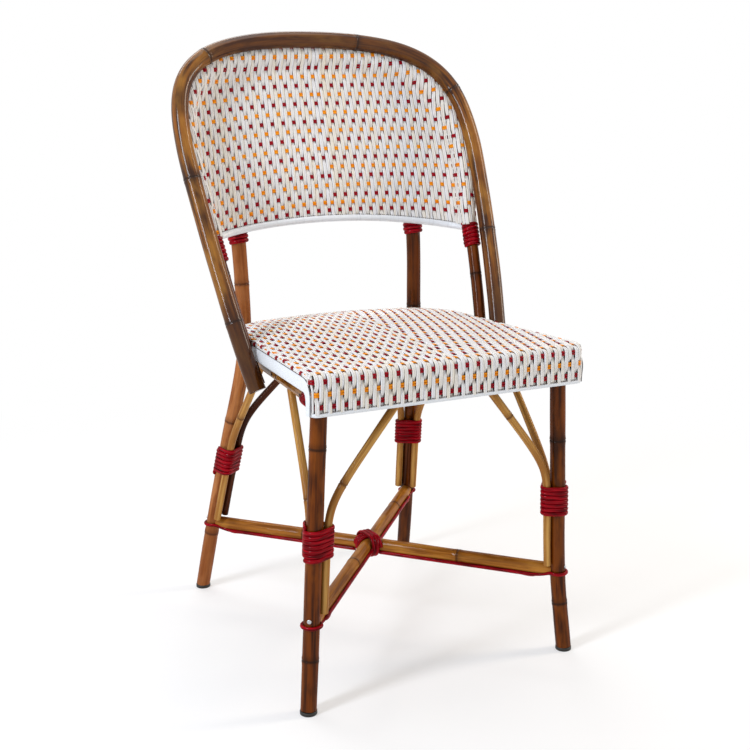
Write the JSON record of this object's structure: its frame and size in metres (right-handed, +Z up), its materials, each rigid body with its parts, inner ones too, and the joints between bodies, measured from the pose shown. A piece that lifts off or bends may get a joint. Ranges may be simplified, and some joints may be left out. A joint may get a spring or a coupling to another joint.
{
  "type": "bistro chair",
  "caption": "Armless bistro chair in bent rattan: curved woven back inside a tall hoop, crowned woven seat with a front apron, wound joints and crossed stretchers.",
  "frame": {"origin": "on the floor, under the middle of the chair's bounding box", "axes": "+X to the right as seen from in front, +Y to the back of the chair, +Z up"},
  "size_m": [0.499, 0.4916, 0.8863],
  "materials": {
    "rattan_frame": "glossy varnish over brown rattan",
    "natural_cane": "satin varnish over peeled cane",
    "woven_strand": "satin woven strand",
    "white_binding": "smooth satin wrap",
    "red_cane": "glossy wound strand",
    "glide": "matt black"
  },
  "bodies": {
    "root": {"apron_binding": "white_binding", "back_hoop": "rattan_frame", "back_panel": "woven_strand", "brace_front_left_cross": "natural_cane", "brace_front_left_side": "natural_cane", "brace_front_right_cross": "natural_cane", "brace_front_right_side": "natural_cane", "brace_rear_left_cross": "natural_cane", "brace_rear_left_side": "natural_cane", "brace_rear_right_cross": "natural_cane", "brace_rear_right_side": "natural_cane", "centre_lashing_lower": "red_cane", "centre_lashing_upper": "red_cane", "front_leg_left": "rattan_frame", "front_leg_right": "rattan_frame", "front_rail": "rattan_frame", "glide_front_left": "glide", "glide_front_right": "glide", "glide_rear_left": "glide", "glide_rear_right": "glide", "leg_wrap_front_left": "red_cane", "leg_wrap_front_right": "red_cane", "leg_wrap_rear_left": "red_cane", "leg_wrap_rear_right": "red_cane", "panel_bottom_rail": "white_binding", "panel_frame": "rattan_frame", "panel_wrap_left": "red_cane", "panel_wrap_right": "red_cane", "post_wrap_left": "red_cane", "post_wrap_right": "red_cane", "rail_wrap_left": "red_cane", "rail_wrap_right": "red_cane", "rear_leg_left": "rattan_frame", "rear_leg_right": "rattan_frame", "rear_rail": "rattan_frame", "seat_side_band": "white_binding", "seat_weave": "woven_strand", "side_rail_left": "rattan_frame", "side_rail_right": "rattan_frame", "stretcher_over": "rattan_frame", "stretcher_tie_front_left": "red_cane", "stretcher_tie_front_right": "red_cane", "stretcher_tie_rear_left": "red_cane", "stretcher_tie_rear_right": "red_cane", "stretcher_under": "rattan_frame"}
  },
  "joints": []
}
